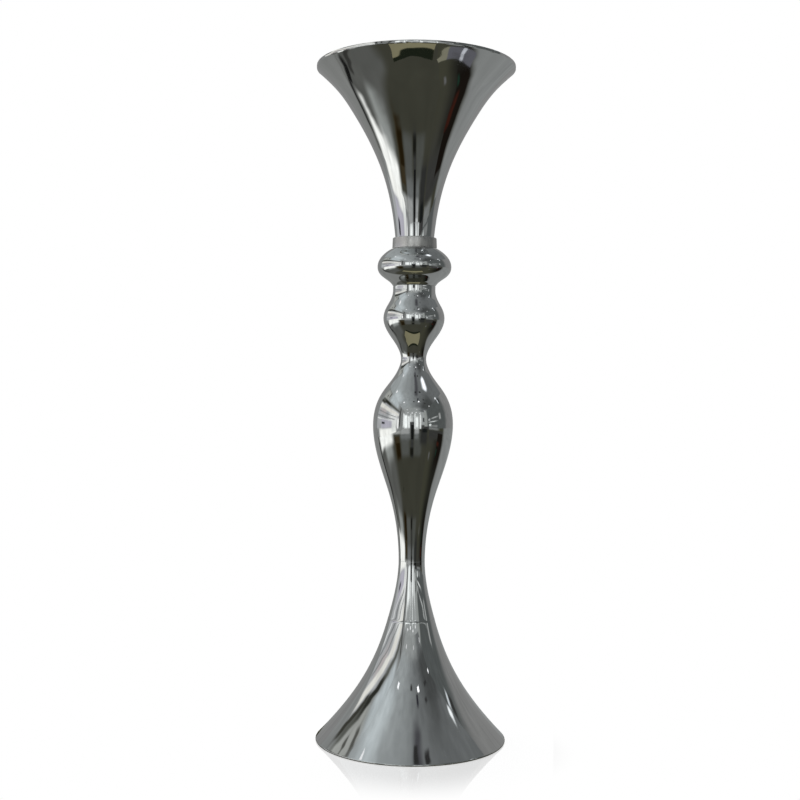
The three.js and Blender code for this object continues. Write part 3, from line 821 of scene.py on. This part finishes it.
hall_side(
    "hall_floor",
    [
        (HALL_RIGHT, HALL_BACK, HALL_FLOOR_Z),
        (HALL_LEFT, HALL_BACK, HALL_FLOOR_Z),
        drop_edge(DROP_ANGLES[0], HALL_LEFT / math.sin(math.radians(DROP_ANGLES[0]))),
        *(drop_edge(angle, DROP_START) for angle in DROP_ANGLES),
        drop_edge(DROP_ANGLES[-1], HALL_RIGHT / math.sin(math.radians(DROP_ANGLES[-1]))),
    ],
    "round",
    (0.066, 0.066, 0.046),
    [
        ("dim floor", (70, 2.0), (28, 1.0), (8, 0.5), (0.055, 0.055, 0.052)),
        ("shadow at the right", (84, 0.78), (18, 0.4), (14, 0.16), (0.022, 0.022, 0.018)),
        ("light at the right", (60, 5.6), (18, 2.3), (8, 0.6), (0.26, 0.27, 0.27)),
        ("pale floor behind", (-160, 5.0), (36, 9.0), (3, 1), (0.3, 0.305, 0.3)),
        ("pale floor behind", (160, 5.0), (61, 9.0), (6, 1), (0.32, 0.33, 0.33)),
        ("dark box", (85.5, 1.35), (9.5, 0.75), (1.5, 0.15), (0.012, 0.009, 0.007)),
        ("red edge", (79, 1.04), (4, 0.08), (2, 0.05), (0.05, 0.014, 0.009)),
        ("green edge", (78, 0.76), (1.6, 0.08), (1, 0.05), (0.015, 0.042, 0.028)),
        # A small painted glint on the floor, to the right in front of the vase.
        ("painted glint", (54, 0.62), (2, 0.05), (1.5, 0.03), (0.16, 0.16, 0.16)),
    ],
)
level(
    "hall_low_floor",
    (HALL_LEFT, HALL_FRONT),
    (HALL_RIGHT, HALL_BACK),
    HALL_LOW,
    "round",
    (0.066, 0.066, 0.05),
    [
        ("left aisle", (-24, 5.0), (13, 3.6), (5, 0.15), (0.115, 0.12, 0.112)),
        ("right aisle", (14, 3.4), (12, 2.0), (5, 0.12), (0.105, 0.11, 0.1)),
        ("left aisle, lighter", (-22, 6.5), (14, 3.7), (4, 0.5), (0.2, 0.21, 0.21)),
        ("right aisle, lighter", (10, 6.5), (6, 3.7), (3, 0.5), (0.2, 0.21, 0.21)),
        ("left aisle, window light", (-23, 8.0), (12, 3.7), (4, 0.5), (0.47, 0.48, 0.48)),
        ("right aisle, window light", (10, 8.0), (6, 3.7), (3, 0.5), (0.45, 0.46, 0.46)),
        ("glare at the front", (9, 9.0), (5, 1.2), (3, 0.5), (0.8, 0.82, 0.82)),
        ("dark goods", (31, 6.0), (10, 3.9), (5, 0.4), (0.04, 0.041, 0.039)),
        ("dark goods, core", (33, 7.5), (7, 2.7), (3, 0.5), (0.014, 0.016, 0.016)),
        ("stand's shadow", (-3, 3.6), (4, 2.3), (2, 0.12), (0.05, 0.052, 0.05)),
        ("stand's shadow, core", (-3, 6.9), (4, 2.4), (1.5, 0.4), (0.022, 0.024, 0.024)),
        ("stand's foot", (-4, 1.55), (5, 0.17), (2.5, 0.1), (0.014, 0.014, 0.011)),
        ("light under the windows", (-97, 4.0), (33, 3.3), (10, 0.12), (0.135, 0.138, 0.13)),
        ("brighter light", (-82, 4.0), (14, 2.35), (7, 0.3), (0.42, 0.44, 0.43)),
        ("light at the front left", (-50, 5.6), (14, 1.3), (6, 0.5), (0.5, 0.51, 0.5)),
        ("sunlit strip", (-104, 5.0), (11, 2.42), (5, 0.25), (1.45, 1.46, 1.43)),
        ("sunlit strip", (-79, 5.0), (16, 2.58), (7, 0.4), (1.45, 1.46, 1.43)),
        ("brown bench", (-48, 2.4), (8, 1.05), (3, 0.1), (0.055, 0.042, 0.022)),
        ("brown bench, core", (-47, 1.85), (6.5, 0.45), (3, 0.12), (0.022, 0.014, 0.005)),
        ("pale floor behind", (-160, 5.0), (36, 9.0), (3, 1), (0.3, 0.305, 0.3)),
        # Darker in a thin line that runs out from the vase to the left and behind it, in three pieces.
        ("thin dark stripe", (-115, 1.5), (2.5, 0.3), (1.2, 0.1), (0.05, 0.05, 0.047)),
        ("thin dark stripe", (-121, 2.05), (2.5, 0.4), (0.9, 0.1), (0.012, 0.012, 0.012)),
        ("thin dark stripe", (-122.5, 3.2), (1.8, 0.8), (0.7, 0.1), (0.035, 0.035, 0.035)),
    ],
)
level(
    "plinth_top",
    (-0.27, -0.272),
    (0.18, -0.118),
    PLINTH_Z,
    "XY",
    (0.27, 0.25, 0.155),
    # The plinth's front edge is darkened by a painted shadow.
    [("painted shadow at the front edge", (-0.045, -0.256), (0.3, 0.02), (0.1, 0.004), (0.014, 0.018, 0.011))],
)
hall_side(
    "near_ledge",
    [(x, y, LEDGE_Z) for x, y in LEDGE_PLAN],
    "XY",
    (0.15, 0.15, 0.175),
    [
        ("warm end", (0.1, -0.1), (0.045, 0.2), (0.004, 0.1), (0.28, 0.27, 0.2)),
        ("bright spot", (0.215, -0.085), (0.009, 0.03), (0.003, 0.01), (0.75, 0.77, 0.85)),
    ],
)
upright(
    "hall_left_wall",
    (HALL_LEFT, HALL_FRONT),
    (HALL_LEFT, HALL_BACK),
    HALL_LOW,
    HALL_HIGH,
    "YZ",
    (0.32, 0.33, 0.33),
    [
        ("sunlit wall under the windows", (-0.95, -0.3), (2.65, 0.35), (0.4, 0.06), (1.4, 1.4, 1.36)),
        ("light above the windows", (-1.6, 3.8), (2.0, 0.75), (0.8, 0.3), (0.66, 0.72, 0.75)),
        ("far window", (-8.7, 1.6), (1.2, 1.8), (0.5, 0.4), (1.2, 1.24, 1.24)),
        ("blind", (-0.9, 1.2), (3.8, 1.2), (0.3, 0.15), (0.58, 0.59, 0.61)),
        ("bright panes", (-2.6, 1.3), (1.3, 0.95), (0.6, 0.3), (1.1, 1.11, 1.1)),
        ("low panes", (-2.8, 0.1), (0.8, 0.45), (0.35, 0.1), (1.1, 1.12, 1.1)),
        ("top panes", (-0.8, 1.95), (3.7, 0.22), (0.3, 0.1), (1.1, 1.08, 1.02)),
        ("pale panel", (1.9, 3.4), (1.4, 0.6), (0.5, 0.2), (0.5, 0.51, 0.49)),
        ("rosy panes", (0.9, 1.5), (1.0, 0.2), (0.4, 0.15), (0.66, 0.6, 0.6)),
        ("glazing bar", (0.0, 1.02), (3.0, 0.06), (0.5, 0.05), (0.3, 0.31, 0.32)),
        ("glazing bar", (-0.4, 1.42), (3.2, 0.05), (0.5, 0.04), (0.34, 0.35, 0.36)),
        ("bright gap", (-0.2, 0.78), (3.0, 0.04), (0.5, 0.03), (1.1, 1.12, 1.12)),
        ("lilac panes", (-0.6, 0.4), (1.6, 0.35), (0.3, 0.15), (0.66, 0.64, 0.74)),
        ("dark gap", (0.4, 0.45), (0.45, 0.08), (0.1, 0.05), (0.04, 0.04, 0.045)),
        ("side window", (-4.35, 0.6), (0.3, 0.7), (0.08, 0.2), (1.4, 1.4, 1.4)),
        ("beam", (-0.9, 2.7), (3.9, 0.16), (0.4, 0.12), (0.14, 0.145, 0.13)),
        ("beam's shadow", (0.4, 2.66), (1.2, 0.2), (0.6, 0.1), (0.035, 0.036, 0.03)),
        ("beam's end", (2.3, 2.42), (1.1, 0.14), (0.4, 0.08), (0.06, 0.06, 0.05)),
        ("bracket", (0.9, 3.75), (0.18, 0.4), (0.1, 0.2), (0.13, 0.13, 0.12)),
        ("bracket", (1.75, 3.35), (0.16, 0.16), (0.08, 0.08), (0.13, 0.13, 0.12)),
        ("pillar", (-5.16, 2.0), (0.36, 1.9), (0.16, 0.3), (0.09, 0.094, 0.09)),
    ],
)
upright(
    "hall_front_wall",
    (HALL_RIGHT, HALL_FRONT),
    (HALL_LEFT, HALL_FRONT),
    HALL_LOW,
    HALL_HIGH,
    "XZ",
    (0.45, 0.47, 0.47),
    [
        ("pale band", (0.3, 1.2), (8, 1.5), (1, 0.5), (0.72, 0.74, 0.74)),
        ("wide window", (-3.5, 1.3), (0.75, 1.8), (0.15, 0.4), (1.45, 1.5, 1.5)),
        ("narrow window", (-2.0, 1.2), (0.25, 1.6), (0.1, 0.3), (1.4, 1.45, 1.45)),
        ("slit", (-1.15, 1.4), (0.12, 1.9), (0.05, 0.3), (1.4, 1.45, 1.45)),
        ("grey door", (0.2, 1.2), (0.3, 1.4), (0.12, 0.3), (0.42, 0.44, 0.45)),
        ("slit", (0.75, 1.5), (0.16, 2.0), (0.06, 0.3), (1.4, 1.45, 1.45)),
        ("wide window", (1.7, 1.1), (0.5, 1.3), (0.1, 0.4), (1.4, 1.45, 1.45)),
        ("narrow window", (3.4, 1.3), (0.2, 1.9), (0.08, 0.3), (1.3, 1.35, 1.35)),
        ("dark counter", (-0.5, 0.3), (0.95, 0.85), (0.2, 0.15), (0.09, 0.092, 0.095)),
        ("grey pier", (2.75, 1.5), (0.2, 2.0), (0.1, 0.4), (0.6, 0.62, 0.62)),
        ("grey end", (4.9, 1.5), (0.9, 2.2), (0.3, 0.4), (0.45, 0.47, 0.47)),
        ("dark opening", (5.3, 1.8), (0.6, 0.6), (0.2, 0.15), (0.05, 0.052, 0.055)),
        ("dark goods", (4.9, -0.1), (1.1, 0.5), (0.4, 0.15), (0.09, 0.092, 0.09)),
        ("wall lamp", (-2.5, 3.8), (0.2, 0.1), (0.05, 0.04), (1.8, 1.8, 1.85)),
        ("wall lamp", (-0.6, 3.6), (0.2, 0.1), (0.05, 0.04), (1.8, 1.8, 1.85)),
        ("wall lamp", (1.3, 3.8), (0.2, 0.1), (0.05, 0.04), (1.8, 1.8, 1.85)),
        ("wall lamp", (3.2, 3.6), (0.2, 0.1), (0.05, 0.04), (1.8, 1.8, 1.85)),
    ],
)
upright(
    "hall_right_wall",
    (HALL_RIGHT, HALL_BACK),
    (HALL_RIGHT, HALL_FRONT),
    HALL_LOW,
    HALL_HIGH,
    "YZ",
    (0.12, 0.13, 0.13),
    [
        ("light from the front", (-8.6, 2.0), (2.1, 4), (0.7, 1), (0.42, 0.44, 0.43)),
        ("dark goods", (-7.5, -0.3), (2.0, 0.35), (0.4, 0.08), (0.06, 0.06, 0.06)),
        ("pale end", (4.2, 2.0), (2.3, 5), (0.9, 1), (0.3, 0.3, 0.3)),
        ("pale board", (-5.2, 1.4), (0.55, 0.22), (0.1, 0.08), (0.62, 0.64, 0.64)),
        ("low lamp", (-4.8, 0.36), (0.6, 0.2), (0.2, 0.08), (1.1, 1.15, 1.15)),
        ("pale board", (-0.55, 1.45), (0.32, 0.4), (0.12, 0.12), (0.5, 0.51, 0.51)),
        ("shelf", (-3.0, 0.25), (1.4, 0.14), (0.3, 0.08), (0.3, 0.31, 0.31)),
        ("high lamp", (0.35, 3.75), (0.18, 0.4), (0.12, 0.2), (0.85, 0.9, 0.95)),
        ("dark fitting", (0.9, 3.7), (0.25, 0.4), (0.12, 0.2), (0.05, 0.05, 0.05)),
        ("streak of light", (-3.7, 0.9), (1.6, 0.07), (1.2, 0.05), (1.0, 1.03, 1.03)),
        ("streak of light", (-2.7, 1.5), (1.1, 0.09), (0.9, 0.07), (0.7, 0.72, 0.72)),
    ],
)
upright("hall_back_left", (HALL_LEFT, HALL_BACK), (-BACK_GAP, HALL_BACK), 0.0, HALL_HIGH, "XZ", BACK_GREY)
upright("hall_back_right", (BACK_GAP, HALL_BACK), (HALL_RIGHT, HALL_BACK), 0.0, HALL_HIGH, "XZ", BACK_GREY)
upright(
    "dark_stand",
    (0.03, STAND_Y),
    (-0.153, STAND_Y),
    STAND_FOOT_Z,
    STAND_TOP_Z,
    "XZ",
    (0.012, 0.013, 0.013),
)


# Camera and lamp: the camera looks at the vase from the front, a little from its left, and is rolled by half
# a degree. The lamp overhead gives the floor its soft shadow.
SOFTBOX_SIZE, SOFTBOX_POWER = 1.6, 20
SOFTBOX_PLACE, SOFTBOX_TURN = (-0.5, -0.4, 2.4), (-0.17, -0.2, 0)
SENSOR_WIDTH, PICTURE_PIXELS, FOCAL_PIXELS = 36, 800, 1226
CAMERA_PLACE = (-0.0147, -1.355, 0.387)
CAMERA_DIP, CAMERA_ROLL = 0.0093, -0.0093
overhead = bpy.data.lights.new("overhead_softbox", "AREA")
overhead.shape = "DISK"
overhead.size = SOFTBOX_SIZE
overhead.energy = SOFTBOX_POWER
softbox = bpy.data.objects.new("overhead_softbox", overhead)
softbox.location = SOFTBOX_PLACE
softbox.rotation_euler = SOFTBOX_TURN
softbox.visible_glossy = False
scene.collection.objects.link(softbox)

lens = bpy.data.cameras.new("camera")
lens.sensor_width = SENSOR_WIDTH
lens.lens = SENSOR_WIDTH * FOCAL_PIXELS / PICTURE_PIXELS
camera = bpy.data.objects.new("camera", lens)
camera.location = CAMERA_PLACE
camera.rotation_euler = (math.pi / 2 - CAMERA_DIP, CAMERA_ROLL, 0)
scene.collection.objects.link(camera)
scene.camera = camera
